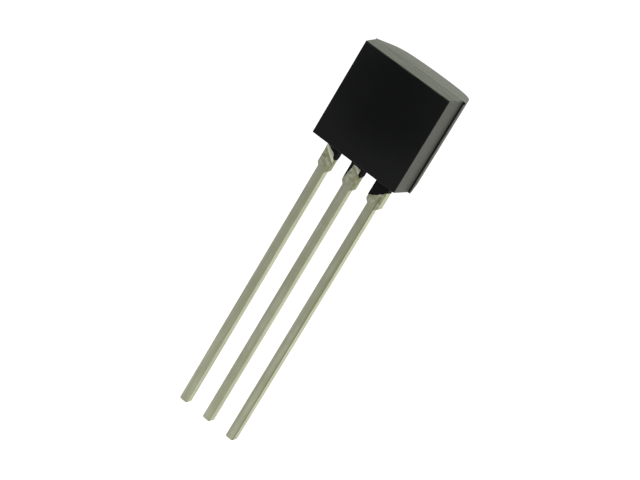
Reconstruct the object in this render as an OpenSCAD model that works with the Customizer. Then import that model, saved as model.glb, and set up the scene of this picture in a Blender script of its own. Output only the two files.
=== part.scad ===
// Small-signal transistor in a moulded three-lead TO-92 package.
// Upright in its own frame: the leads run down along -Z, the flat front faces -Y, and the
// origin is on the middle lead's axis, level with the lowest line of the body's underside.
// The stamped leadframe's middle is the plane Y = 0, and the mould parts at its rear face.

/* [Body] */
// Width of the flat front
flat_w = 4.14; // [3.90:0.02:4.20]
// Width of the front half at the parting line
front_w = 4.30; // [4.22:0.02:4.40]
// Depth of the front half, from the flat to the parting line
front_d = 1.15; // [1.10:0.01:1.20]
// Width of the rear half at the parting line
rear_w = 4.48; // [4.44:0.02:4.60]
// Lean of the rear half's sides, in degrees
side_lean = 16; // [10:0.5:18]
// Radius of the two rounded corners at the back
corner_r = 1.10; // [0.90:0.01:1.20]
// Radius of the crowned back between them
crown_r = 5; // [4:0.5:12]
// Depth of the body, from the flat front to the back
body_d = 3.18; // [3.18:0.02:3.60]
// Height at the parting line
body_h = 4.24; // [4.20:0.02:4.70]
// Draft of the front half's top and underside, in degrees
front_draft = 0.5; // [0.5:0.5:3]
// Draft of the rear half's top and underside, in degrees
rear_draft = 6; // [4:0.5:7]
// How far the rear mould half sits out of line, towards the right lead
mould_shift = 0.03; // [0:0.01:0.05]
// How much lower than the front half the rear half is, above and below
parting_step = 0.012; // [0.010:0.001:0.020]
// Diameter of the ejector pin's mark in the back
ejector_d = 1.3; // [0.8:0.1:1.6]
// Depth of that mark
ejector_depth = 0.08; // [0.05:0.01:0.15]

/* [Leads] */
// Distance from one lead's axis to the next
pitch = 1.27; // [1.24:0.01:1.30]
// Width of a lead, along X
lead_w = 0.38; // [0.36:0.01:0.50]
// Thickness of the leadframe, along Y
lead_t = 0.38; // [0.36:0.01:0.44]
// Length of the leads below the body
lead_len = 12.8; // [12.7:0.1:14.5]
// Bevel left by the shear at the lead tips
tip_bevel = 0.05; // [0.02:0.01:0.10]
// Height of a lead's root, from the body down to where its wide part starts to narrow
root_len = 1.10; // [1.06:0.02:1.30]
// Height over which a root narrows to its lead
root_taper = 0.14; // [0.10:0.01:0.30]
// Metal left of each lead's axis at the root
root_left = [0.29, 0.31, 0.33]; // [0.26:0.01:0.40]
// Metal right of each lead's axis at the root
root_right = [0.28, 0.29, 0.34]; // [0.26:0.01:0.40]

/* [Mould flash] */
// Thickness of the resin skin on the front and back of a root
skin_t = 0.04; // [0.02:0.01:0.08]
// How far the skin reaches down at each root's left edge
skin_left = [0.18, 0.30, 0.88]; // [0.08:0.02:0.94]
// How far the skin reaches down at each lead's middle
skin_middle = [0.34, 0.24, 0.70]; // [0.08:0.02:0.94]
// How far the skin reaches down at each lead's right edge
skin_edge = [0.46, 0.28, 0.55]; // [0.08:0.02:0.94]
// How far the skin reaches down at each root's right edge
skin_right = [0.60, 0.56, 0.38]; // [0.08:0.02:0.94]
// How far the resin reaches down each root's left side
side_left = [0.24, 0.98, 0.92]; // [0.10:0.02:1.00]
// How far the resin reaches down each root's right side
side_right = [0.66, 0.60, 0.42]; // [0.10:0.02:1.00]

/* [Inside] */
// Top of the left lead's bonding post
left_post_z = 2.65; // [2.4:0.05:2.8]
// Top of the middle lead's bonding post
middle_post_z = 1.30; // [1.1:0.05:1.4]
// Width of a bonding post
post_w = 0.76; // [0.6:0.02:0.8]
// Height of a bonding post
post_h = 0.50; // [0.4:0.02:0.6]
// Width of the pad that carries the chip
pad_w = 2.10; // [1.9:0.05:2.1]
// Height of the pad that carries the chip
pad_h = 1.80; // [1.6:0.05:1.9]
// Radius of the notches that lock the pad in the resin
lock_r = 0.16; // [0.12:0.01:0.20]
// Side of the square chip
chip_side = 0.46; // [0.3:0.02:0.6]
// Thickness of the chip
chip_t = 0.20; // [0.15:0.01:0.25]
// Thickness of the adhesive under the chip
attach_t = 0.02; // [0.01:0.005:0.03]
// How far the adhesive spreads past the chip
attach_rim = 0.05; // [0.02:0.01:0.08]
// Diameter of the bond wires
wire_d = 0.03; // [0.025:0.005:0.05]
// Height of the wire loops above the chip
loop_h = 0.17; // [0.12:0.01:0.20]
// Diameter of the ball where a wire starts
ball_d = 0.09; // [0.08:0.01:0.10]
// Height of that ball
ball_h = 0.025; // [0.02:0.005:0.03]

/* [Hidden] */
$fn = 96;
cut = 0.5;                                  // how far a cutting tool runs past what it cuts
bond = 0.1;                                 // how far the flash starts inside the body
parting_y = lead_t / 2;                     // the mould parts at the leadframe's rear face
flat_y = parting_y - front_d;
back_y = flat_y + body_d;
front_rise = front_d * tan(front_draft);                   // height of the underside at the flat
rear_rise = parting_step + (back_y - parting_y) * tan(rear_draft);      // and at the back

// The rear corners: each is tangent to its leaning side and to the crowned back
side_out = [cos(side_lean), sin(side_lean)];
side_along = [-sin(side_lean), cos(side_lean)];
crown_centre = [0, back_y - crown_r];
corner_foot = ([rear_w / 2, parting_y] * side_out - corner_r) * side_out - crown_centre;
corner_slide = -corner_foot * side_along
    + sqrt(pow(corner_foot * side_along, 2) + pow(crown_r - corner_r, 2) - corner_foot * corner_foot);
corner_centre = crown_centre + corner_foot + corner_slide * side_along;
corner_end = atan2(corner_centre[1] - crown_centre[1], corner_centre[0]);
arc_step = 3;

lead_front = -lead_t / 2;                   // the leadframe's front face
lead_x = [-pitch, 0, pitch];
left_shoulder = 0.42;                       // where a root starts to widen, as a share of the
right_shoulder = 0.83;                      // way that the resin reaches down its side
pad_top = 3.55;
pad_left = pitch + lead_w / 2 + 0.1 - pad_w;
pad_z = pad_top - pad_h;
chip_x = pad_left + 0.75;
chip_z = pad_z + pad_h / 2;
chip_front = lead_front - attach_t - chip_t;
pad_offset = chip_side / 4;                 // from the chip's centre to each of its two bond pads
wire_sides = 8;
wire_rings = 14;

// A flat outline in X and Z, given the leadframe's thickness or another one, centred on Y = 0
module upright(thick = lead_t) {
    rotate([90, 0, 0])
        linear_extrude(thick, center = true)
            children();
}

function arc(centre, r, from, to) =
    let (steps = ceil(abs(to - from) / arc_step))
    [for (k = [0 : steps]) let (a = from + (to - from) * k / steps) centre + r * [cos(a), sin(a)]];

// Plan view of the front half, which narrows from the parting line to the flat
module front_outline() {
    polygon([
        [-flat_w / 2, flat_y], [flat_w / 2, flat_y],
        [front_w / 2, parting_y], [-front_w / 2, parting_y]
    ]);
}

// Plan view of the rear half: leaning sides, rounded corners and a crowned back
module rear_outline() {
    right = concat([[rear_w / 2, parting_y]],
                   arc(corner_centre, corner_r, side_lean, corner_end),
                   arc(crown_centre, crown_r, corner_end, 90));
    left = [for (k = [len(right) - 2 : -1 : 0]) [-right[k][0], right[k][1]]];
    translate([mould_shift, 0]) polygon(concat(right, left));
}

// One half of the body: its plan, cut to its drafted side view, which is in Y and Z
module drafted(side_view) {
    intersection() {
        linear_extrude(body_h) children();
        rotate([90, 0, 90])
            linear_extrude(rear_w + 2 * cut, center = true)
                polygon(side_view);
    }
}

module body_form() {
    drafted([
        [flat_y, front_rise], [parting_y, 0], [parting_y, body_h], [flat_y, body_h - front_rise]
    ])
        front_outline();
    drafted([
        [parting_y, parting_step], [back_y, rear_rise],
        [back_y, body_h - rear_rise], [parting_y, body_h - parting_step]
    ])
        rear_outline();
}

// The ejector pin's round mark in the back
module ejector_mark() {
    translate([mould_shift, back_y - ejector_depth, body_h / 2])
        rotate([-90, 0, 0])
            cylinder(d = ejector_d, h = cut);
}

// Flash on one root: a skin over the metal's front and back, and resin that fills the corners
// between the body and what is left of the tie bars, all cut level with the root's sides
module root_flash(i) {
    left = -root_left[i];
    right = root_right[i];
    translate([lead_x[i], 0, 0]) {
        upright(lead_t + 2 * skin_t)
            polygon([
                [left, bond], [right, bond], [right, -skin_right[i]],
                [lead_w / 2, -skin_edge[i]], [0, -skin_middle[i]], [left, -skin_left[i]]
            ]);
        upright()
            polygon([
                [left, bond], [right, bond], [right, -side_right[i]],
                [0, -side_right[i]], [0, -side_left[i]], [left, -side_left[i]]
            ]);
    }
}

// One lead from its sheared tip up to height top. Its root widens to what is left of the tie
// bars, and is held at that width down to a short taper, which is lower on its right side.
module lead_outline(i, top) {
    half = lead_w / 2;
    left = -root_left[i];
    right = root_right[i];
    translate([lead_x[i], 0])
        polygon([
            [-half, -lead_len + tip_bevel], [-half + tip_bevel, -lead_len],
            [half - tip_bevel, -lead_len], [half, -lead_len + tip_bevel],
            [half, -root_len - root_taper * 3 / 2], [right, -root_len - root_taper / 2],
            [right, -side_right[i]], [half, -side_right[i] * right_shoulder], [half, top],
            [-half, top], [-half, -side_left[i] * left_shoulder], [left, -side_left[i]],
            [left, -root_len + root_taper / 3], [-half, -root_len - root_taper * 2 / 3]
        ]);
}

// A bonding post with cut corners, whose top edge is at height top
module post_outline(x, top) {
    corner = post_h / 4;
    translate([x, top])
        polygon([
            [-post_w / 2, -corner], [-post_w / 2 + corner, 0],
            [post_w / 2 - corner, 0], [post_w / 2, -corner],
            [post_w / 2, -post_h + corner], [lead_w / 2, -post_h],
            [-lead_w / 2, -post_h], [-post_w / 2, -post_h + corner]
        ]);
}

// The pad that carries the chip, with a half-round lock notch in its top and left edges
module pad_outline() {
    difference() {
        translate([pad_left, pad_z]) square([pad_w, pad_h]);
        translate([pad_left + pad_w * 0.7, pad_top]) circle(lock_r);
        translate([pad_left, pad_z + pad_h / 4]) circle(lock_r);
    }
}

// A round bond wire with a ball at its start and a flattened foot at its end. Both ends stand
// square on the faces that they join, and the loop between them is a cubic curve.
module bond_wire(start, end) {
    crown = min(start[1], end[1]) - loop_h * 4 / 3;
    path = [for (k = [0 : wire_rings - 1])
        bezier(start + [0, -ball_h / 2, 0], [start[0], crown, start[2]],
               [end[0], crown, end[2]], end + [0, -ball_h / 4, 0], k / (wire_rings - 1))];
    across = cross([0, 1, 0], end - start);
    sideways = across / norm(across);
    last = wire_rings - 1;
    points = [for (k = [0 : last], a = [0 : wire_sides - 1])
        let (along = k == 0 ? [0, -1, 0] : k == last ? [0, 1, 0] : path[k + 1] - path[k - 1],
             out = cross(along / norm(along), sideways),
             turn = 360 * a / wire_sides)
        path[k] + wire_d / 2 * (cos(turn) * sideways + sin(turn) * out)];
    sides = [for (k = [0 : last - 1], a = [0 : wire_sides - 1])
        let (b = (a + 1) % wire_sides, low = k * wire_sides, high = low + wire_sides)
        each [[low + a, low + b, high + b], [low + a, high + b, high + a]]];
    caps = [[for (a = [wire_sides - 1 : -1 : 0]) a],
            [for (a = [0 : wire_sides - 1]) last * wire_sides + a]];
    polyhedron(points, concat(sides, caps));
    bond_foot(start, ball_d, ball_h);
    bond_foot(end, ball_d * 0.9, ball_h / 2);
}

module bond_foot(place, d, h) {
    translate(place) rotate([90, 0, 0]) cylinder(d = d, h = h, $fn = 12);
}

function bezier(a, b, c, d, t) =
    pow(1 - t, 3) * a + 3 * t * pow(1 - t, 2) * b + 3 * t * t * (1 - t) * c + pow(t, 3) * d;

module moulded_body() {
    color("#1d1e1d")
        difference() {
            union() {
                body_form();
                for (i = [0 : 2]) root_flash(i);
            }
            ejector_mark();
            left_lead();
            middle_lead();
            right_lead();
            silicon_chip();
            chip_attach();
            emitter_wire();
            base_wire();
        }
}

module left_lead() {
    color("silver") {
        upright() lead_outline(0, left_post_z - post_h / 2);
        upright() post_outline(lead_x[0] + 0.08, left_post_z);
    }
}

module middle_lead() {
    color("silver") {
        upright() lead_outline(1, middle_post_z - post_h / 2);
        upright() post_outline(lead_x[1], middle_post_z);
    }
}

module right_lead() {
    color("silver") {
        upright() lead_outline(2, pad_z + pad_h / 4);
        upright() pad_outline();
    }
}

module silicon_chip() {
    color("slategray")
        translate([chip_x - chip_side / 2, chip_front, chip_z - chip_side / 2])
            cube([chip_side, chip_t, chip_side]);
}

module chip_attach() {
    side = chip_side + 2 * attach_rim;
    color("gainsboro")
        translate([chip_x - side / 2, lead_front - attach_t, chip_z - side / 2])
            cube([side, attach_t, side]);
}

module emitter_wire() {
    color("gold")
        bond_wire([chip_x - pad_offset, chip_front, chip_z + pad_offset / 2],
                  [lead_x[0] + 0.15, lead_front, left_post_z - post_h / 2]);
}

module base_wire() {
    color("gold")
        bond_wire([chip_x, chip_front, chip_z - pad_offset],
                  [lead_x[1] + 0.05, lead_front, middle_post_z - post_h / 3]);
}

moulded_body();
left_lead();
middle_lead();
right_lead();
silicon_chip();
chip_attach();
emitter_wire();
base_wire();
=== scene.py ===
import bmesh
import bpy
import math
from mathutils import Matrix, Vector


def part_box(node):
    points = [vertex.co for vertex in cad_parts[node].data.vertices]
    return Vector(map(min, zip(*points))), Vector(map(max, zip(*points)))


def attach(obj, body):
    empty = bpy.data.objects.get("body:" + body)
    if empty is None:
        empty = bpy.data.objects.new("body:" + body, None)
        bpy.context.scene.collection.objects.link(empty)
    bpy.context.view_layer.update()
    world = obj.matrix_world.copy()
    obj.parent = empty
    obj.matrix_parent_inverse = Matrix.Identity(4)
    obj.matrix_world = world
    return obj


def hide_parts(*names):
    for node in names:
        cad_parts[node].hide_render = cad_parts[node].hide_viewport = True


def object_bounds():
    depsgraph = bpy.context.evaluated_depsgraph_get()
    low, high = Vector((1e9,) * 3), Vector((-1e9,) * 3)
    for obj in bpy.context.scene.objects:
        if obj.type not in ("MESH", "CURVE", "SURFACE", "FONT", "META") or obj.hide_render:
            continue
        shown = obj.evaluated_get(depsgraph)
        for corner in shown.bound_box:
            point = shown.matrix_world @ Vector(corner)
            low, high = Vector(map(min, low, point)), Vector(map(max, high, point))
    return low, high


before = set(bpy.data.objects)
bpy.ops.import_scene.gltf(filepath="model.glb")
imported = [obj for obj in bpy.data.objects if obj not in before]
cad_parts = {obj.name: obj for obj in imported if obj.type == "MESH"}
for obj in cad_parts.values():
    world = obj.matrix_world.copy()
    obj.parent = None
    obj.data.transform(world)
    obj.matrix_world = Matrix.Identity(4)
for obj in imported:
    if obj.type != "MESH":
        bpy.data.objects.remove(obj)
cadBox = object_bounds()
mm = 0.001
leadPitch = 1.27 * mm
tiny = 1e-7          # points nearer than this are one point
nearly = 1e-6        # and a point nearer than this to a plane lies on it
softEdge = 0.02 * mm   # over which a painted area fades out
flatAngle = math.radians(0.5)   # faces nearer to one plane than this are joined


# ---- small helpers for working as by hand

def nothingSelected():
    if bpy.context.mode != "OBJECT":
        bpy.ops.object.mode_set(mode="OBJECT")
    bpy.ops.object.select_all(action="DESELECT")


def makeActive(piece):
    nothingSelected()
    piece.select_set(True)
    bpy.context.view_layer.objects.active = piece


def newest(name):
    piece = bpy.context.view_layer.objects.active
    piece.name = name
    piece.data.name = name
    return piece


def editWhere(piece, kind, test):   # into edit mode, with only the faces, edges or verts that pass the test
    if bpy.context.mode != "EDIT_MESH":
        makeActive(piece)
        bpy.ops.object.mode_set(mode="EDIT")
    bpy.ops.mesh.select_mode(type=kind)
    bpy.ops.mesh.select_all(action="DESELECT")
    mesh = bmesh.from_edit_mesh(piece.data)
    mesh.normal_update()
    for item in {"FACE": mesh.faces, "EDGE": mesh.edges, "VERT": mesh.verts}[kind]:
        if test(item):
            item.select_set(True)
    mesh.select_flush_mode()
    bmesh.update_edit_mesh(piece.data)


def editDone():
    bpy.ops.object.mode_set(mode="OBJECT")


def applyModifier(piece, kind, **values):
    makeActive(piece)
    modifier = piece.modifiers.new(kind.lower(), kind)
    for key, value in values.items():
        setattr(modifier, key, value)
    bpy.ops.object.modifier_apply(modifier=modifier.name)


def cadCopy(node, name):   # a CAD node's own shape as a new mesh, merged and with its flat faces whole
    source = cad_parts[node]
    piece = bpy.data.objects.new(name, source.data.copy())
    bpy.context.scene.collection.objects.link(piece)
    piece.data.materials.clear()
    editWhere(piece, "VERT", lambda vert: True)
    bpy.ops.mesh.remove_doubles(threshold=tiny)
    bpy.ops.mesh.dissolve_limited(angle_limit=flatAngle)
    bpy.ops.mesh.customdata_custom_splitnormals_clear()
    editDone()
    return piece


def atOrigin(piece):
    makeActive(piece)
    bpy.ops.object.transform_apply(location=True, rotation=True, scale=True)


def finishPiece(piece, material, slotName, *nodes):
    atOrigin(piece)
    bpy.ops.object.shade_smooth_by_angle(angle=math.radians(30))
    applyModifier(piece, "WEIGHTED_NORMAL", keep_sharp=True)
    piece.data.materials.clear()
    piece.data.materials.append(material)
    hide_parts(*nodes)
    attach(piece, "root")


# ---- node groups shared by the materials

def makeGroup(name, inputs, outputs):
    group = bpy.data.node_groups.new(name, "ShaderNodeTree")
    for label, kind, value in inputs:
        socket = group.interface.new_socket(name=label, in_out="INPUT", socket_type=kind)
        if value is not None:
            socket.default_value = value
    for label, kind in outputs:
        group.interface.new_socket(name=label, in_out="OUTPUT", socket_type=kind)
    return group, group.nodes.new("NodeGroupInput"), group.nodes.new("NodeGroupOutput")


def addNode(tree, kind, sockets=None, **values):
    node = tree.nodes.new(kind)
    for key, value in values.items():
        setattr(node, key, value)
    for key, value in (sockets or {}).items():
        if isinstance(value, bpy.types.NodeSocket):
            tree.links.new(value, node.inputs[key])
        else:
            node.inputs[key].default_value = value
    return node


def buildGrain():   # fine even grain, as sand-blasted steel leaves in a moulding or dull plating has
    group, take, give = makeGroup(
        "fineGrain",
        [("Position", "NodeSocketVector", None), ("Grains per m", "NodeSocketFloat", 9000.0),
         ("Pits", "NodeSocketFloat", 0.3)],
        [("Height", "NodeSocketFloat"), ("Mask", "NodeSocketFloat")])
    noise = addNode(group, "ShaderNodeTexNoise", {
        "Vector": take.outputs["Position"], "Scale": take.outputs["Grains per m"],
        "Detail": 3.0, "Roughness": 0.6})
    cells = addNode(group, "ShaderNodeTexVoronoi", {
        "Vector": take.outputs["Position"], "Scale": take.outputs["Grains per m"]}, feature="F1")
    pit = addNode(group, "ShaderNodeMapRange", {
        "Value": cells.outputs["Distance"], "From Min": 0.0, "From Max": 0.28, "To Min": -1.0, "To Max": 0.0})
    sunk = addNode(group, "ShaderNodeMath", {
        0: pit.outputs["Result"], 1: take.outputs["Pits"]}, operation="MULTIPLY")
    total = addNode(group, "ShaderNodeMath", {0: noise.outputs["Fac"], 1: sunk.outputs[0]}, operation="ADD")
    mask = addNode(group, "ShaderNodeMapRange", {
        "Value": noise.outputs["Fac"], "From Min": 0.35, "From Max": 0.65})
    group.links.new(total.outputs[0], give.inputs["Height"])
    group.links.new(mask.outputs["Result"], give.inputs["Mask"])
    return group


def buildBlotches():   # wide soft patches between two colours
    group, take, give = makeGroup(
        "softBlotches",
        [("Position", "NodeSocketVector", None), ("Patches per m", "NodeSocketFloat", 600.0),
         ("Contrast", "NodeSocketFloat", 1.0),
         ("Colour 1", "NodeSocketColor", (0.5, 0.5, 0.5, 1.0)),
         ("Colour 2", "NodeSocketColor", (0.4, 0.4, 0.4, 1.0))],
        [("Color", "NodeSocketColor"), ("Mask", "NodeSocketFloat")])
    noise = addNode(group, "ShaderNodeTexNoise", {
        "Vector": take.outputs["Position"], "Scale": take.outputs["Patches per m"],
        "Detail": 4.0, "Roughness": 0.55})
    centred = addNode(group, "ShaderNodeMath", {0: noise.outputs["Fac"], 1: 0.5}, operation="SUBTRACT")
    wide = addNode(group, "ShaderNodeMath", {
        0: centred.outputs[0], 1: take.outputs["Contrast"]}, operation="MULTIPLY")
    mask = addNode(group, "ShaderNodeMath", {
        0: wide.outputs[0], 1: 0.5}, operation="ADD", use_clamp=True)
    mix = addNode(group, "ShaderNodeMix", {
        "Factor": mask.outputs[0],
        6: take.outputs["Colour 1"], 7: take.outputs["Colour 2"]}, data_type="RGBA")
    group.links.new(mix.outputs[2], give.inputs["Color"])
    group.links.new(mask.outputs[0], give.inputs["Mask"])
    return group


def buildDrawMarks():   # fine lines along the length, from the roll, the die or the plating line
    group, take, give = makeGroup(
        "drawMarks",
        [("Position", "NodeSocketVector", None), ("Lines per m", "NodeSocketFloat", 14000.0),
         ("Length", "NodeSocketFloat", 0.03)],
        [("Height", "NodeSocketFloat"), ("Mask", "NodeSocketFloat")])
    squeeze = addNode(group, "ShaderNodeCombineXYZ", {"X": 1.0, "Y": 1.0, "Z": take.outputs["Length"]})
    stretched = addNode(group, "ShaderNodeVectorMath", {
        0: take.outputs["Position"], 1: squeeze.outputs["Vector"]}, operation="MULTIPLY")
    noise = addNode(group, "ShaderNodeTexNoise", {
        "Vector": stretched.outputs["Vector"], "Scale": take.outputs["Lines per m"],
        "Detail": 3.0, "Roughness": 0.65})
    mask = addNode(group, "ShaderNodeMapRange", {
        "Value": noise.outputs["Fac"], "From Min": 0.36, "From Max": 0.64})
    group.links.new(noise.outputs["Fac"], give.inputs["Height"])
    group.links.new(mask.outputs["Result"], give.inputs["Mask"])
    return group


fineGrain = buildGrain()
softBlotches = buildBlotches()
drawMarks = buildDrawMarks()


def startMaterial(name, colour, metallic, roughness, specular):
    material = bpy.data.materials.new(name)
    material.use_nodes = True
    tree = material.node_tree
    shader = tree.nodes["Principled BSDF"]
    shader.inputs["Base Color"].default_value = (*colour, 1.0)
    shader.inputs["Metallic"].default_value = metallic
    shader.inputs["Roughness"].default_value = roughness
    shader.inputs["Specular IOR Level"].default_value = specular
    place = addNode(tree, "ShaderNodeTexCoord").outputs["Object"]
    return material, tree, shader, place


def placeGroup(tree, group, sockets):
    return addNode(tree, "ShaderNodeGroup", sockets, node_tree=group)


def roughBetween(tree, shader, mask, low, high):
    level = addNode(tree, "ShaderNodeMapRange", {"Value": mask, "To Min": low, "To Max": high})
    tree.links.new(level.outputs["Result"], shader.inputs["Roughness"])


def bumpFrom(tree, shader, height, distance, under=None):
    bump = addNode(tree, "ShaderNodeBump", {"Height": height, "Distance": distance, "Strength": 1.0})
    if under is not None:
        tree.links.new(under, bump.inputs["Normal"])
    tree.links.new(bump.outputs["Normal"], shader.inputs["Normal"])


def overLimit(tree, value, start, end):   # 0 before start, 1 past end, soft between them
    return addNode(tree, "ShaderNodeMapRange", {"Value": value, "From Min": start, "From Max": end},
                   interpolation_type="SMOOTHSTEP").outputs["Result"]


def withinBand(tree, place, point, across, low, high):   # 1 between two parallel planes, soft at both
    away = addNode(tree, "ShaderNodeVectorMath", {0: place, 1: point}, operation="SUBTRACT")
    along = addNode(tree, "ShaderNodeVectorMath", {
        0: away.outputs["Vector"], 1: across}, operation="DOT_PRODUCT")
    above = overLimit(tree, along.outputs["Value"], low - softEdge, low + softEdge)
    past = overLimit(tree, along.outputs["Value"], high - softEdge, high + softEdge)
    return addNode(tree, "ShaderNodeMath", {0: above, 1: past}, operation="SUBTRACT").outputs[0]


def larger(tree, first, second):
    return addNode(tree, "ShaderNodeMath", {0: first, 1: second}, operation="MAXIMUM").outputs[0]


def resinMaterial():
    look = {
        "dark": (0.0012, 0.0016, 0.0016), "pale": (0.0100, 0.0112, 0.0105), "spark": (0.016, 0.017, 0.014),
        "litFlank": (0.072, 0.073, 0.064), "rimHighlight": (0.240, 0.245, 0.215), "flash": (0.011, 0.0115, 0.012),
        "specular": 0.16, "flatLow": 0.20, "flatHigh": 0.27, "roughLow": 0.34, "roughHigh": 0.44,
        "sparkLow": 0.44, "sparkHigh": 0.62, "flashRough": 0.92,
        "patches": 700.0, "patchContrast": 1.6, "unevenGain": 0.45, "unevenFrom": -0.22,
        "sheenCentre": (0.1 * mm, -0.96 * mm, 3.0 * mm), "spotIn": 0.7 * mm, "spotOut": 3.6 * mm,
        "streaks": 5200.0, "streakLength": 0.12, "streakPale": (0.046, 0.054, 0.046),
        "grain": 14000.0, "grainPits": 0.35, "grainDepth": 0.0035 * mm,
        "sparkGrain": 9000.0, "sparkPits": 0.6, "sparkDepth": 0.010 * mm, "coarseEdge": 0.03 * mm,
        "wallSlope": -0.105, "wallHigh": 4.17 * mm, "behindFrom": 0.172 * mm, "behindTo": 0.188 * mm,
        "flatFrom": 0.930 * mm, "flatTo": 0.952 * mm, "topFrom": 4.16 * mm, "topTo": 4.20 * mm,
        "frontTopFrom": 4.215 * mm, "frontTopTo": 4.235 * mm, "flankIn": 2.062 * mm, "flankOut": 2.078 * mm,
        "shift": 0.03 * mm, "rimIn": 2.185 * mm, "rimOut": 2.205 * mm, "rimBack": 0.225 * mm,
    }
    material, tree, shader, place = startMaterial(
        "blackEpoxy", look["dark"], 0.0, look["roughLow"], look["specular"])
    split = addNode(tree, "ShaderNodeSeparateXYZ", {"Vector": place})
    # painted sheen: the resin is painted darkest round one point on the flat and paler away from it; the
    # blotches add random tone on top
    away = addNode(tree, "ShaderNodeVectorMath", {0: place, 1: look["sheenCentre"]}, operation="DISTANCE")
    wearAndSheen = overLimit(tree, away.outputs["Value"], look["spotIn"], look["spotOut"])
    blotch = placeGroup(tree, softBlotches, {
        "Position": place, "Patches per m": look["patches"], "Contrast": look["patchContrast"],
        "Colour 1": (*look["dark"], 1.0), "Colour 2": (*look["pale"], 1.0)})
    uneven = addNode(tree, "ShaderNodeMath", {
        0: blotch.outputs["Mask"], 1: look["unevenGain"], 2: look["unevenFrom"]}, operation="MULTIPLY_ADD")
    tone = addNode(tree, "ShaderNodeMath", {0: wearAndSheen, 1: uneven.outputs[0]}, operation="ADD", use_clamp=True)
    colour = addNode(tree, "ShaderNodeMix", {
        "Factor": tone.outputs[0], 6: (*look["dark"], 1.0), 7: (*look["pale"], 1.0)}, data_type="RGBA")
    # the wall of the rear half and the broken flash are coarser than the rest
    wallTop = addNode(tree, "ShaderNodeMath", {
        0: split.outputs["Y"], 1: look["wallSlope"], 2: look["wallHigh"]}, operation="MULTIPLY_ADD")
    below = addNode(tree, "ShaderNodeMath", {
        0: wallTop.outputs[0], 1: split.outputs["Z"]}, operation="SUBTRACT")
    behind = overLimit(tree, split.outputs["Y"], look["behindFrom"], look["behindTo"])
    wall = addNode(tree, "ShaderNodeMath", {
        0: behind, 1: overLimit(tree, below.outputs[0], 0.0, look["coarseEdge"])}, operation="MULTIPLY")
    under = addNode(tree, "ShaderNodeMath", {0: split.outputs["Z"], 1: -1.0}, operation="MULTIPLY")
    flash = overLimit(tree, under.outputs[0], 0.0, look["coarseEdge"])
    coarse = larger(tree, wall.outputs[0], flash)
    paint = addNode(tree, "ShaderNodeMix", {
        "Factor": flash, 6: colour.outputs[2], 7: (*look["flash"], 1.0)}, data_type="RGBA")
    sideways = addNode(tree, "ShaderNodeMath", {0: split.outputs["X"]}, operation="ABSOLUTE")
    shifted = addNode(tree, "ShaderNodeMath", {0: split.outputs["X"], 1: look["shift"]}, operation="SUBTRACT")
    fromMiddle = addNode(tree, "ShaderNodeMath", {0: shifted.outputs[0]}, operation="ABSOLUTE")
    # painted light: the side facets of the front half are painted far paler than the rest of the resin, for
    # the light they catch
    wide = overLimit(tree, sideways.outputs[0], look["flankIn"], look["flankOut"])
    notBehind = addNode(tree, "ShaderNodeMath", {0: wide, 1: behind}, operation="SUBTRACT", use_clamp=True)
    frontTop = overLimit(tree, split.outputs["Z"], look["frontTopFrom"], look["frontTopTo"])
    litFlank = addNode(tree, "ShaderNodeMath", {
        0: notBehind.outputs[0], 1: frontTop}, operation="SUBTRACT", use_clamp=True)
    withLitFlank = addNode(tree, "ShaderNodeMix", {
        "Factor": litFlank.outputs[0], 6: paint.outputs[2], 7: (*look["litFlank"], 1.0)}, data_type="RGBA")
    # painted highlight: a narrow strip of the rear half's side, just behind the parting, is painted pale grey
    # for the sheen it catches
    rimBack = overLimit(tree, split.outputs["Y"], look["rimBack"], look["rimBack"] + softEdge)
    narrow = addNode(tree, "ShaderNodeMath", {
        0: wall.outputs[0], 1: rimBack}, operation="SUBTRACT", use_clamp=True)
    onRimHighlight = addNode(tree, "ShaderNodeMath", {
        0: narrow.outputs[0], 1: overLimit(tree, fromMiddle.outputs[0], look["rimIn"], look["rimOut"])},
        operation="MULTIPLY")
    wallPaint = addNode(tree, "ShaderNodeMix", {
        "Factor": wall.outputs[0], 6: withLitFlank.outputs[2], 7: (*look["spark"], 1.0)}, data_type="RGBA")
    withRimHighlight = addNode(tree, "ShaderNodeMix", {
        "Factor": onRimHighlight.outputs[0], 6: wallPaint.outputs[2], 7: (*look["rimHighlight"], 1.0)}, data_type="RGBA")
    # the end walls of the mould were ground along X and left faint streaks
    turned = addNode(tree, "ShaderNodeCombineXYZ", {
        "X": split.outputs["Z"], "Y": split.outputs["Y"], "Z": split.outputs["X"]})
    streaks = placeGroup(tree, drawMarks, {
        "Position": turned.outputs["Vector"], "Lines per m": look["streaks"], "Length": look["streakLength"]})
    above = addNode(tree, "ShaderNodeMath", {0: below.outputs[0], 1: -1.0}, operation="MULTIPLY")
    rearTop = addNode(tree, "ShaderNodeMath", {
        0: overLimit(tree, above.outputs[0], 0.0, look["coarseEdge"]), 1: behind}, operation="MULTIPLY")
    frontEnd = overLimit(tree, split.outputs["Z"], look["topFrom"], look["topTo"])
    onTop = larger(tree, frontEnd, rearTop.outputs[0])
    streaked = addNode(tree, "ShaderNodeMath", {0: onTop, 1: streaks.outputs["Mask"]}, operation="MULTIPLY")
    faint = addNode(tree, "ShaderNodeVectorMath", {
        0: streaked.outputs[0], 1: look["streakPale"]}, operation="MULTIPLY")
    shade = addNode(tree, "ShaderNodeVectorMath", {
        0: withRimHighlight.outputs[2], 1: faint.outputs["Vector"]}, operation="ADD")
    tree.links.new(shade.outputs["Vector"], shader.inputs["Base Color"])
    grain = placeGroup(tree, fineGrain, {
        "Position": place, "Grains per m": look["grain"], "Pits": look["grainPits"]})
    spark = placeGroup(tree, fineGrain, {
        "Position": place, "Grains per m": look["sparkGrain"], "Pits": look["sparkPits"]})
    forward = addNode(tree, "ShaderNodeMath", {0: split.outputs["Y"], 1: -1.0}, operation="MULTIPLY")
    onFlat = overLimit(tree, forward.outputs[0], look["flatFrom"], look["flatTo"])
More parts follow.
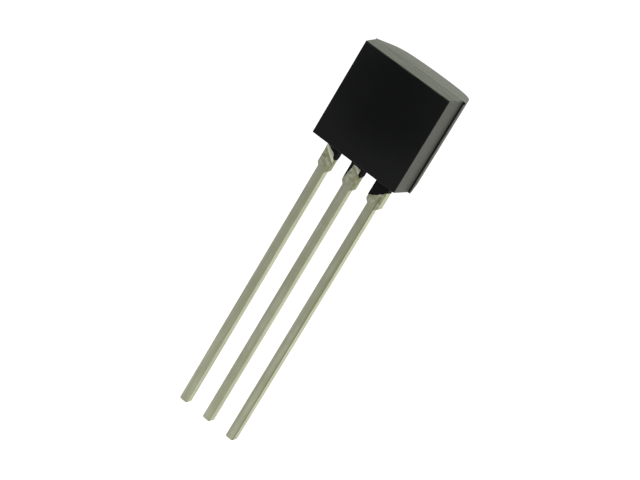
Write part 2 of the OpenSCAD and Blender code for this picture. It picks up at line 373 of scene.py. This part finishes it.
    matt = addNode(tree, "ShaderNodeMapRange", {
        "Value": grain.outputs["Mask"], "To Min": look["roughLow"], "To Max": look["roughHigh"]})
    polished = addNode(tree, "ShaderNodeMapRange", {
        "Value": grain.outputs["Mask"], "To Min": look["flatLow"], "To Max": look["flatHigh"]})
    fine = addNode(tree, "ShaderNodeMix", {
        "Factor": onFlat, 2: matt.outputs["Result"], 3: polished.outputs["Result"]}, data_type="FLOAT")
    rough = addNode(tree, "ShaderNodeMapRange", {
        "Value": spark.outputs["Mask"], "To Min": look["sparkLow"], "To Max": look["sparkHigh"]})
    level = addNode(tree, "ShaderNodeMix", {
        "Factor": coarse, 2: fine.outputs[0], 3: rough.outputs["Result"]}, data_type="FLOAT")
    dull = addNode(tree, "ShaderNodeMath", {0: flash, 1: look["flashRough"]}, operation="MULTIPLY")
    tree.links.new(larger(tree, level.outputs[0], dull.outputs[0]), shader.inputs["Roughness"])
    shallow = addNode(tree, "ShaderNodeMath", {
        0: grain.outputs["Height"], 1: look["grainDepth"]}, operation="MULTIPLY")
    deep = addNode(tree, "ShaderNodeMath", {
        0: spark.outputs["Height"], 1: look["sparkDepth"]}, operation="MULTIPLY")
    relief = addNode(tree, "ShaderNodeMix", {
        "Factor": coarse, 2: shallow.outputs[0], 3: deep.outputs[0]}, data_type="FLOAT")
    bumpFrom(tree, shader, relief.outputs[0], 1.0)
    return material


leadAxes = {"left_lead": -leadPitch, "middle_lead": 0.0, "right_lead": leadPitch}
# the ridge that the press threw up on a root, just below the resin: where its crest crosses the lead's axis
ridges = {
    "left_lead": {
        "crest": -0.530 * mm, "slope": -39.0, "above": 0.115 * mm, "below": 0.10 * mm, "high": 0.038 * mm},
    "middle_lead": {
        "crest": -0.385 * mm, "slope": -31.0, "above": 0.095 * mm, "below": 0.10 * mm, "high": 0.030 * mm},
}


def ridgeFrame(node):   # a point on the crest, and the direction straight across it
    turn = math.radians(ridges[node]["slope"])
    return Vector((leadAxes[node], 0, ridges[node]["crest"])), Vector((-math.sin(turn), 0, math.cos(turn)))


def tinMaterial():
    look = {
        "bright": (0.60, 0.61, 0.50), "dull": (0.42, 0.43, 0.325), "sheared": (0.43, 0.43, 0.32),
        "burnishAndHighlight": (0.70, 0.71, 0.62), "stainAndShade": (0.34, 0.35, 0.225), "scuffed": (0.215, 0.225, 0.120),
        "leftTint": (1.0, 1.0, 1.035), "rightTint": (1.0, 1.005, 0.94), "halfLead": 0.19 * mm,
        "roughLow": 0.34, "roughHigh": 0.52, "roughCap": 0.68, "burnishedRough": 0.26,
        "lines": 9000.0, "lineLength": 0.035, "lineDepth": 0.004 * mm,
        "patches": 1500.0, "patchContrast": 1.5, "mottles": 5200.0, "mottleContrast": 4.0,
        "grain": 16000.0, "grainPits": 0.2, "grainDepth": 0.0015 * mm,
        "cutFrom": 0.235 * mm, "cutTo": 0.262 * mm, "cutHigh": 0.08 * mm, "cutLow": 1.30 * mm,
        "outside": 1.50 * mm, "outerShare": 0.5, "facing": 0.165 * mm, "halfRoot": 0.42 * mm,
        "pressedFoot": 1.15 * mm, "pressedFade": 0.2 * mm,
        "scuffIn": 1.405 * mm, "scuffOut": 1.455 * mm, "scuffTop": 0.62 * mm, "scuffFade": 0.1 * mm,
        "cornerFrom": 0.008 * mm, "cornerTo": 0.012 * mm,
    }
    material, tree, shader, place = startMaterial("dullTin", look["bright"], 1.0, look["roughLow"], 0.5)
    lines = placeGroup(tree, drawMarks, {
        "Position": place, "Lines per m": look["lines"], "Length": look["lineLength"]})
    blotch = placeGroup(tree, softBlotches, {
        "Position": place, "Patches per m": look["patches"], "Contrast": look["patchContrast"],
        "Colour 1": (*look["bright"], 1.0), "Colour 2": (*look["dull"], 1.0)})
    wearAndSheen = addNode(tree, "ShaderNodeMix", {
        "Factor": lines.outputs["Mask"],
        6: blotch.outputs["Color"], 7: (*look["dull"], 1.0)}, data_type="RGBA")
    # the punch's cuts through the tie bars are bare, untinned metal
    split = addNode(tree, "ShaderNodeSeparateXYZ", {"Vector": place})
    near = addNode(tree, "ShaderNodeMath", {
        0: split.outputs["X"], 1: leadPitch / 2, 2: -leadPitch / 2}, operation="WRAP")
    sideways = addNode(tree, "ShaderNodeMath", {0: near.outputs[0]}, operation="ABSOLUTE")
    outer = overLimit(tree, sideways.outputs[0], look["cutFrom"], look["cutTo"])
    low = overLimit(tree, split.outputs["Z"], -look["cutLow"] - softEdge, -look["cutLow"])
    high = overLimit(tree, split.outputs["Z"], look["cutHigh"], look["cutHigh"] + softEdge)
    reach = addNode(tree, "ShaderNodeMath", {0: low, 1: high}, operation="SUBTRACT", use_clamp=True)
    inner = addNode(tree, "ShaderNodeMapRange", {
        "Value": split.outputs["X"], "From Min": look["outside"], "From Max": look["outside"] + softEdge,
        "To Min": 1.0, "To Max": look["outerShare"]})
    both = addNode(tree, "ShaderNodeMath", {0: outer, 1: reach.outputs[0]}, operation="MULTIPLY")
    bare = addNode(tree, "ShaderNodeMath", {
        0: both.outputs[0], 1: inner.outputs["Result"]}, operation="MULTIPLY")
    paint = addNode(tree, "ShaderNodeMix", {
        "Factor": bare.outputs[0],
        6: wearAndSheen.outputs[2], 7: (*look["sheared"], 1.0)}, data_type="RGBA").outputs[2]
    # the press mottled the tin of the roots; above a ridge's crest it burnished it, and the tin there is also
    # painted paler, a painted highlight; below the crest a band is painted darker, a painted shadow
    forward = addNode(tree, "ShaderNodeMath", {0: split.outputs["Y"], 1: -1.0}, operation="MULTIPLY")
    facing = overLimit(tree, forward.outputs[0], look["facing"], look["facing"] + softEdge)
    foot = -look["pressedFoot"]
    pressed = overLimit(tree, split.outputs["Z"], foot, foot + look["pressedFade"])
    mottle = placeGroup(tree, softBlotches, {
        "Position": place, "Patches per m": look["mottles"], "Contrast": look["mottleContrast"],
        "Colour 1": (*look["bright"], 1.0), "Colour 2": (*look["stainAndShade"], 1.0)})
    onRoot = addNode(tree, "ShaderNodeMath", {0: pressed, 1: facing}, operation="MULTIPLY")
    paint = addNode(tree, "ShaderNodeMix", {
        "Factor": onRoot.outputs[0], 6: paint, 7: mottle.outputs["Color"]}, data_type="RGBA").outputs[2]
    # the plating is greyer to the left and more olive to the right of each lead
    aslant = addNode(tree, "ShaderNodeMapRange", {
        "Value": near.outputs[0], "From Min": -look["halfLead"], "From Max": look["halfLead"]})
    tint = addNode(tree, "ShaderNodeMix", {
        "Factor": aslant.outputs["Result"], 6: (*look["leftTint"], 1.0), 7: (*look["rightTint"], 1.0)},
        data_type="RGBA", clamp_factor=True)
    paint = addNode(tree, "ShaderNodeVectorMath", {
        0: paint, 1: tint.outputs[2]}, operation="MULTIPLY").outputs["Vector"]
    # the right lead's outer corner is scuffed down its whole length
    scuff = overLimit(tree, split.outputs["X"], look["scuffIn"], look["scuffOut"])
    beyond = overLimit(tree, split.outputs["X"], look["scuffOut"] + look["cornerFrom"],
                       look["scuffOut"] + look["cornerTo"])
    lower = addNode(tree, "ShaderNodeMath", {0: split.outputs["Z"], 1: -1.0}, operation="MULTIPLY")
    strip = addNode(tree, "ShaderNodeMath", {0: scuff, 1: beyond}, operation="SUBTRACT", use_clamp=True)
    belowRoot = overLimit(tree, lower.outputs[0], look["scuffTop"], look["scuffTop"] + look["scuffFade"])
    corner = addNode(tree, "ShaderNodeMath", {0: strip.outputs[0], 1: belowRoot}, operation="MULTIPLY")
    scuffed = addNode(tree, "ShaderNodeMath", {0: corner.outputs[0], 1: facing}, operation="MULTIPLY")
    paint = addNode(tree, "ShaderNodeMix", {
        "Factor": scuffed.outputs[0], 6: paint, 7: (*look["scuffed"], 1.0)}, data_type="RGBA").outputs[2]
    shine = 0.0
    for node, ridge in ridges.items():
        crest, across = ridgeFrame(node)
        onLead = withinBand(tree, place, crest, (1, 0, 0), -look["halfRoot"], look["halfRoot"])
        # below each crest a band is painted darker, a painted shadow; above it the burnished tin is painted
        # paler, a painted highlight
        for colour, low, high in (("stainAndShade", -ridge["below"], 0.0), ("burnishAndHighlight", 0.0, ridge["above"])):
            band = withinBand(tree, place, crest, across, low, high)
            there = addNode(tree, "ShaderNodeMath", {
                0: band, 1: onLead}, operation="MULTIPLY", use_clamp=True)
            share = addNode(tree, "ShaderNodeMath", {0: there.outputs[0], 1: facing}, operation="MULTIPLY")
            paint = addNode(tree, "ShaderNodeMix", {
                "Factor": share.outputs[0], 6: paint, 7: (*look[colour], 1.0)}, data_type="RGBA").outputs[2]
        shine = larger(tree, shine, share.outputs[0])
    tree.links.new(paint, shader.inputs["Base Color"])
    fine = addNode(tree, "ShaderNodeMapRange", {
        "Value": lines.outputs["Mask"], "To Min": look["roughLow"], "To Max": look["roughHigh"]})
    rough = larger(tree, fine.outputs["Result"], bare.outputs[0])
    capped = addNode(tree, "ShaderNodeMath", {0: rough, 1: look["roughCap"]}, operation="MINIMUM")
    level = addNode(tree, "ShaderNodeMix", {
        "Factor": shine, 2: capped.outputs[0], 3: look["burnishedRough"]}, data_type="FLOAT")
    tree.links.new(level.outputs[0], shader.inputs["Roughness"])
    grain = placeGroup(tree, fineGrain, {
        "Position": place, "Grains per m": look["grain"], "Pits": look["grainPits"]})
    under = addNode(tree, "ShaderNodeBump", {
        "Height": grain.outputs["Height"], "Distance": look["grainDepth"], "Strength": 1.0}).outputs["Normal"]
    bumpFrom(tree, shader, lines.outputs["Height"], look["lineDepth"], under=under)
    return material


def goldMaterial():
    look = {"bright": (0.85, 0.60, 0.20), "deep": (0.70, 0.45, 0.13), "rough": 0.18,
            "roughLow": 0.14, "roughHigh": 0.26, "lines": 60000.0, "lineLength": 0.2}
    material, tree, shader, place = startMaterial("bondGold", look["bright"], 1.0, look["rough"], 0.5)
    lines = placeGroup(tree, drawMarks, {
        "Position": place, "Lines per m": look["lines"], "Length": look["lineLength"]})
    tone = addNode(tree, "ShaderNodeMix", {
        "Factor": lines.outputs["Mask"],
        6: (*look["bright"], 1.0), 7: (*look["deep"], 1.0)}, data_type="RGBA")
    tree.links.new(tone.outputs[2], shader.inputs["Base Color"])
    roughBetween(tree, shader, lines.outputs["Mask"], look["roughLow"], look["roughHigh"])
    return material


def siliconMaterial():
    look = {"field": (0.045, 0.052, 0.075), "edge": (0.075, 0.078, 0.090), "rough": 0.12, "specular": 0.9,
            "roughLow": 0.08, "roughHigh": 0.16, "patches": 6000.0, "patchContrast": 3.0}
    material, tree, shader, place = startMaterial(
        "polishedSilicon", look["field"], 0.0, look["rough"], look["specular"])
    blotch = placeGroup(tree, softBlotches, {
        "Position": place, "Patches per m": look["patches"], "Contrast": look["patchContrast"],
        "Colour 1": (*look["field"], 1.0), "Colour 2": (*look["edge"], 1.0)})
    tree.links.new(blotch.outputs["Color"], shader.inputs["Base Color"])
    roughBetween(tree, shader, blotch.outputs["Mask"], look["roughLow"], look["roughHigh"])
    return material


def attachMaterial():
    look = {"flake": (0.52, 0.52, 0.50), "binder": (0.33, 0.33, 0.32), "rough": 0.4,
            "grain": 60000.0, "grainPits": 0.5, "grainDepth": 0.002 * mm,
            "patches": 40000.0, "patchContrast": 3.0}
    material, tree, shader, place = startMaterial("silverAdhesive", look["flake"], 0.0, look["rough"], 0.5)
    grain = placeGroup(tree, fineGrain, {
        "Position": place, "Grains per m": look["grain"], "Pits": look["grainPits"]})
    blotch = placeGroup(tree, softBlotches, {
        "Position": place, "Patches per m": look["patches"], "Contrast": look["patchContrast"],
        "Colour 1": (*look["flake"], 1.0), "Colour 2": (*look["binder"], 1.0)})
    tree.links.new(blotch.outputs["Color"], shader.inputs["Base Color"])
    tree.links.new(grain.outputs["Mask"], shader.inputs["Metallic"])
    bumpFrom(tree, shader, grain.outputs["Height"], look["grainDepth"])
    return material


blackEpoxy = resinMaterial()
dullTin = tinMaterial()
print("materials ready")


# ---- the three leads: the CAD outlines, with pressed roots and worn edges

leadValues = {
    "edgeRound": 0.018 * mm, "edgeSteps": 2, "sharpAngle": 50, "rootTop": -0.10 * mm, "rootFoot": -1.24 * mm,
}


def cutAlong(piece, point, normal):   # a line of new edges right round, where a plane crosses the piece
    editWhere(piece, "FACE", lambda face: True)
    bpy.ops.mesh.bisect(plane_co=point, plane_no=normal, threshold=tiny)
    editDone()


def pressRidge(piece, node, front):
    v = leadValues
    ridge = ridges[node]
    crest, across = ridgeFrame(node)
    for offset in (ridge["above"], 0.0, -ridge["below"]):
        cutAlong(piece, crest + across * offset, across)
    editWhere(piece, "VERT", lambda vert: abs((vert.co - crest).dot(across)) < tiny
              and vert.co.y < front + tiny and v["rootFoot"] < vert.co.z < v["rootTop"])
    bpy.ops.transform.translate(value=(0, -ridge["high"], 0))
    editWhere(piece, "VERT", lambda vert: True)
    bpy.ops.mesh.dissolve_limited(angle_limit=flatAngle)
    editDone()


def leadPiece(node, name):
    v = leadValues
    piece = cadCopy(node, name)
    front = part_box(node)[0].y
    cutAlong(piece, (0, 0, v["rootTop"]), (0, 0, 1))
    cutAlong(piece, (0, 0, v["rootFoot"]), (0, 0, 1))
    if node in ridges:
        pressRidge(piece, node, front)

    def outerEdge(edge):
        return len(edge.link_faces) == 2 and edge.calc_face_angle(0) > math.radians(v["sharpAngle"])

    editWhere(piece, "EDGE", outerEdge)
    bpy.ops.mesh.bevel(offset=v["edgeRound"], segments=v["edgeSteps"], affect="EDGES", clamp_overlap=True)
    editDone()
    finishPiece(piece, dullTin, "tinned_lead", node)
    return piece


leftLead = leadPiece("left_lead", "leftLead")
middleLead = leadPiece("middle_lead", "middleLead")
rightLead = leadPiece("right_lead", "rightLead")
print("leads ready")


# ---- the moulded body: the CAD shape, with the small radii of the mould and ragged flash

bodyValues = {
    "flatY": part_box("moulded_body")[0].y, "partingY": 0.19 * mm, "partingWidth": 2.17 * mm,
    "partingRound": 0.030 * mm, "partingLong": 1.0 * mm, "edgeRound": 0.030 * mm, "edgeSteps": 3,
    "rimAngle": 40, "rimWide": 1.9 * mm, "rimBehind": 0.4 * mm,
    "rootHalf": 0.30 * mm, "flashTop": 0.05 * mm, "flashStart": 0.05 * mm, "flashMargin": 0.01 * mm,
    "tearAcross": (-0.96, -0.71, -0.55, -0.33, -0.12, 0.09, 0.28, 0.47, 0.71, 0.88),
    "tearDeep": (-0.45, -0.17, 0.14, 0.42), "tearSize": 0.12 * mm, "tearDepth": 0.11 * mm,
    "mergeWithin": 0.0005 * mm,
}


def mouldedBody():
    v = bodyValues
    piece = cadCopy("moulded_body", "mouldedBody")

    def outerRim(edge):
        if len(edge.link_faces) != 2 or edge.calc_face_angle(0) < math.radians(v["rimAngle"]):
            return False
        if min(vert.co.z for vert in edge.verts) < -nearly:
            return False
        onFlat = any(face.normal.y < -0.99 and face.calc_center_median().y < v["flatY"] + nearly
                     for face in edge.link_faces)
        sides = [face for face in edge.link_faces
                 if abs(face.normal.z) < 0.01 and abs(face.normal.y) < 0.9999]
        ends = [face for face in edge.link_faces if abs(face.normal.z) > 0.9]
        wide = max(abs(vert.co.x) for vert in edge.verts) > v["rimWide"] \
            or min(vert.co.y for vert in edge.verts) > v["rimBehind"]
        return onFlat or (len(sides) == 1 and len(ends) == 1 and wide)

    editWhere(piece, "EDGE", outerRim)
    bpy.ops.mesh.bevel(offset=v["edgeRound"], segments=v["edgeSteps"], affect="EDGES", clamp_overlap=False)
    editDone()

    def partingEdge(edge):
        return edge.calc_length() > v["partingLong"] and all(
            abs(vert.co.y - v["partingY"]) < nearly and abs(vert.co.x) > v["partingWidth"]
            for vert in edge.verts)

    editWhere(piece, "EDGE", partingEdge)
    bpy.ops.mesh.bevel(offset=v["partingRound"], segments=v["edgeSteps"], affect="EDGES", clamp_overlap=False)
    editDone()

    def flashFace(face):
        heights = [vert.co.z for vert in face.verts]
        return max(heights) < v["flashTop"] and min(heights) < -v["flashStart"]

    # the flash tore off unevenly: lines down it give its lower edge points to move
    lines = [((axis + share * v["rootHalf"], 0, 0), (1, 0, 0))
             for axis in leadAxes.values() for share in v["tearAcross"]]
    lines += [((0, share * v["rootHalf"], 0), (0, 1, 0)) for share in v["tearDeep"]]
    for point, normal in lines:
        editWhere(piece, "FACE", flashFace)
        bpy.ops.mesh.bisect(plane_co=point, plane_no=normal, threshold=tiny)
        editDone()
    editWhere(piece, "VERT", lambda vert: True)
    bpy.ops.mesh.remove_doubles(threshold=v["mergeWithin"])
    editDone()
    torn = bpy.data.textures.new("tornEdge", "CLOUDS")
    torn.noise_scale = v["tearSize"]
    torn.noise_depth = 2
    makeActive(piece)
    piece.vertex_groups.new(name="flash")
    editWhere(piece, "VERT", lambda vert: vert.co.z < -v["flashStart"] - v["flashMargin"])
    bpy.ops.object.vertex_group_assign()
    editDone()
    applyModifier(piece, "DISPLACE", texture=torn, texture_coords="LOCAL", direction="Z", mid_level=0.5,
                  strength=v["tearDepth"], vertex_group="flash")
    return piece


body = mouldedBody()
finishPiece(body, blackEpoxy, "moulding_compound", "moulded_body")
print("moulded body ready")


# ---- the pieces inside keep their CAD shapes

insideLooks = {
    "silicon_chip": siliconMaterial(), "chip_attach": attachMaterial(),
    "emitter_wire": goldMaterial(),
}
insideLooks["base_wire"] = insideLooks["emitter_wire"]
for nodeName, material in insideLooks.items():
    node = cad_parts[nodeName]
    node.data.materials.clear()
    node.data.materials.append(material)
print("inner pieces ready")


# ---- floor, backdrop light, lamps and camera

stageValues = {
    "floorDrop": 6.0 * mm, "floorSize": 4.0,
    "floorGlow": 0.70, "floorColour": 0.42,
    "floorGlossFront": 0.0, "floorGlossBack": 0.64, "fadeFrom": -0.06, "fadeTo": 0.03,
    "floorRough": 0.9, "worldFill": 0.45,
    "glossFront": 0.95, "glossBack": 1.60, "glossTint": (1.0, 1.015, 0.86),
    "frontEnd": -0.4, "backEnd": 0.5, "lowShare": 0.57, "riseFrom": 0.10, "riseTo": 0.36,
    "lampAim": (0, 0, -4 * mm),
    "overhead": {"place": (0.05, -0.03, 0.26), "size": 0.22, "power": 0.55},
    "rightSide": {"place": (0.24, 0.02, 0.06), "size": 0.16, "power": 0.22},
}


def lightPathSum(tree, kinds):
    path = addNode(tree, "ShaderNodeLightPath")
    total = path.outputs[kinds[0]]
    for kind in kinds[1:]:
        total = addNode(tree, "ShaderNodeMath", {0: total, 1: path.outputs[kind]},
                        operation="ADD", use_clamp=True).outputs[0]
    return total


def buildFloor():
    nothingSelected()
    level = cadBox[0].z - stageValues["floorDrop"]
    bpy.ops.mesh.primitive_plane_add(size=stageValues["floorSize"], location=(0, 0, level))
    floor = newest("floor")
    atOrigin(floor)
    material = bpy.data.materials.new("paleFloor")
    material.use_nodes = True
    tree = material.node_tree
    shader = tree.nodes["Principled BSDF"]
    grey = stageValues["floorColour"]
    shader.inputs["Base Color"].default_value = (grey, grey, grey, 1.0)
    shader.inputs["Roughness"].default_value = stageValues["floorRough"]
    shader.inputs["Specular IOR Level"].default_value = 0.0
    shader.inputs["Emission Color"].default_value = (1.0, 1.0, 1.0, 1.0)
    seen = lightPathSum(tree, ["Is Camera Ray", "Is Transmission Ray"])
    glow = addNode(tree, "ShaderNodeMath", {0: seen, 1: stageValues["floorGlow"]}, operation="MULTIPLY")
    place = addNode(tree, "ShaderNodeTexCoord").outputs["Object"]
    along = addNode(tree, "ShaderNodeSeparateXYZ", {"Vector": place}).outputs["Y"]
    fade = addNode(tree, "ShaderNodeMapRange", {
        "Value": along, "From Min": stageValues["fadeFrom"], "From Max": stageValues["fadeTo"],
        "To Min": stageValues["floorGlossFront"], "To Max": stageValues["floorGlossBack"]},
        interpolation_type="SMOOTHSTEP")
    mirrored = addNode(tree, "ShaderNodeLightPath").outputs["Is Glossy Ray"]
    sheen = addNode(tree, "ShaderNodeMath", {0: mirrored, 1: fade.outputs["Result"]}, operation="MULTIPLY")
    total = addNode(tree, "ShaderNodeMath", {0: glow.outputs[0], 1: sheen.outputs[0]}, operation="ADD")
    tint = addNode(tree, "ShaderNodeMix", {
        "Factor": mirrored, 6: (1.0, 1.0, 1.0, 1.0), 7: (*stageValues["glossTint"], 1.0)}, data_type="RGBA")
    tree.links.new(tint.outputs[2], shader.inputs["Emission Color"])
    tree.links.new(total.outputs[0], shader.inputs["Emission Strength"])
    floor.data.materials.append(material)


def buildWorld():
    world = bpy.data.worlds.new("studio")
    bpy.context.scene.world = world
    world.use_nodes = True
    tree = world.node_tree
    ground = tree.nodes["Background"]
    seen = lightPathSum(tree, ["Is Camera Ray", "Is Transmission Ray"])
    path = addNode(tree, "ShaderNodeLightPath")
    direction = addNode(tree, "ShaderNodeTexCoord").outputs["Generated"]
    along = addNode(tree, "ShaderNodeSeparateXYZ", {"Vector": direction})
    level = addNode(tree, "ShaderNodeMapRange", {
        "Value": along.outputs["Y"], "From Min": stageValues["frontEnd"], "From Max": stageValues["backEnd"],
        "To Min": stageValues["glossFront"], "To Max": stageValues["glossBack"]})
    rise = addNode(tree, "ShaderNodeMapRange", {
        "Value": along.outputs["Z"], "From Min": stageValues["riseFrom"], "From Max": stageValues["riseTo"],
        "To Min": stageValues["lowShare"], "To Max": 1.0})
    gloss = addNode(tree, "ShaderNodeMath", {
        0: level.outputs["Result"], 1: rise.outputs["Result"]}, operation="MULTIPLY")
    lit = addNode(tree, "ShaderNodeMix", {
        "Factor": path.outputs["Is Glossy Ray"], 2: stageValues["worldFill"], 3: gloss.outputs[0]},
        data_type="FLOAT")
    strength = addNode(tree, "ShaderNodeMix", {
        "Factor": seen, 2: lit.outputs[0], 3: 1.0}, data_type="FLOAT")
    tree.links.new(strength.outputs[0], ground.inputs["Strength"])
    tint = addNode(tree, "ShaderNodeMix", {
        "Factor": path.outputs["Is Glossy Ray"],
        6: (1.0, 1.0, 1.0, 1.0), 7: (*stageValues["glossTint"], 1.0)}, data_type="RGBA")
    tree.links.new(tint.outputs[2], ground.inputs["Color"])


def softLamp(name):
    values = stageValues[name]
    place, aim = values["place"], stageValues["lampAim"]
    data = bpy.data.lights.new(name, "AREA")
    data.shape = "SQUARE"
    data.size = values["size"]
    data.energy = values["power"]
    lamp = bpy.data.objects.new(name, data)
    bpy.context.scene.collection.objects.link(lamp)
    lamp.location = place
    lamp.rotation_euler = (Vector(aim) - Vector(place)).to_track_quat("-Z", "Y").to_euler()


def buildCamera():
    v = {"azimuth": 19.61, "elevation": 19.36, "roll": 31.11, "distance": 82.28 * mm,
         "aim": Vector((0.53, -1.04, -3.29)) * mm, "lens": 119.4, "sensor": 36.0,
         "clipStart": 0.005, "clipEnd": 20.0}
    azimuth, elevation = math.radians(v["azimuth"]), math.radians(v["elevation"])
    back = Vector((math.sin(azimuth) * math.cos(elevation),
                   -math.cos(azimuth) * math.cos(elevation), math.sin(elevation)))
    data = bpy.data.cameras.new("camera")
    data.lens = v["lens"]
    data.sensor_width = v["sensor"]
    data.clip_start = v["clipStart"]
    data.clip_end = v["clipEnd"]
    camera = bpy.data.objects.new("camera", data)
    bpy.context.scene.collection.objects.link(camera)
    camera.location = v["aim"] + back * v["distance"]
    upright = (-back).to_track_quat("-Z", "Y")
    turned = Matrix.Rotation(math.radians(v["roll"]), 3, back) @ upright.to_matrix()
    camera.rotation_euler = turned.to_euler()
    bpy.context.scene.camera = camera


buildFloor()
buildWorld()
softLamp("overhead")
softLamp("rightSide")
buildCamera()
bpy.context.scene.view_settings.view_transform = "Standard"
print("stage ready")
